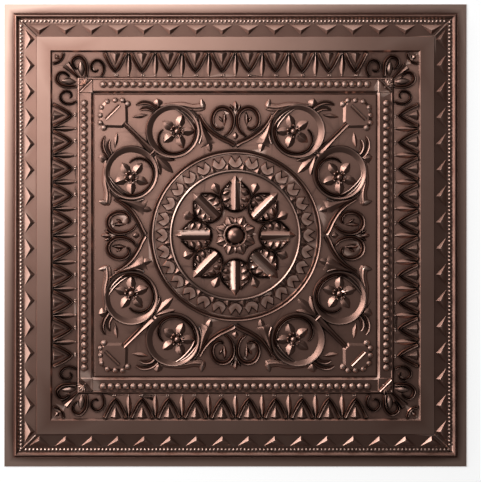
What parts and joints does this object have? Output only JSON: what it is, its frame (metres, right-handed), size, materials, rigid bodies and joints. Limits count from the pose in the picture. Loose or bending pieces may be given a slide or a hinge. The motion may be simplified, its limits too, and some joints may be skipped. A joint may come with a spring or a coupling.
{
  "type": "pvc drop ceiling tile",
  "caption": "Lay-in ceiling tile of vacuum-formed PVC sheet with a pressed-tin pattern in antique copper finish.",
  "frame": {"origin": "centre of the tile in plan, at the level of the flange's underside", "axes": "+Z out of the decorated face, +X and +Y along the tile's sides"},
  "size_m": [0.603, 0.603, 0.0097],
  "materials": {
    "antique_copper_face": "satin metallic copper coating with a dark patina on PVC sheet"
  },
  "bodies": {
    "root": {"tile_sheet": "antique_copper_face"}
  },
  "joints": []
}
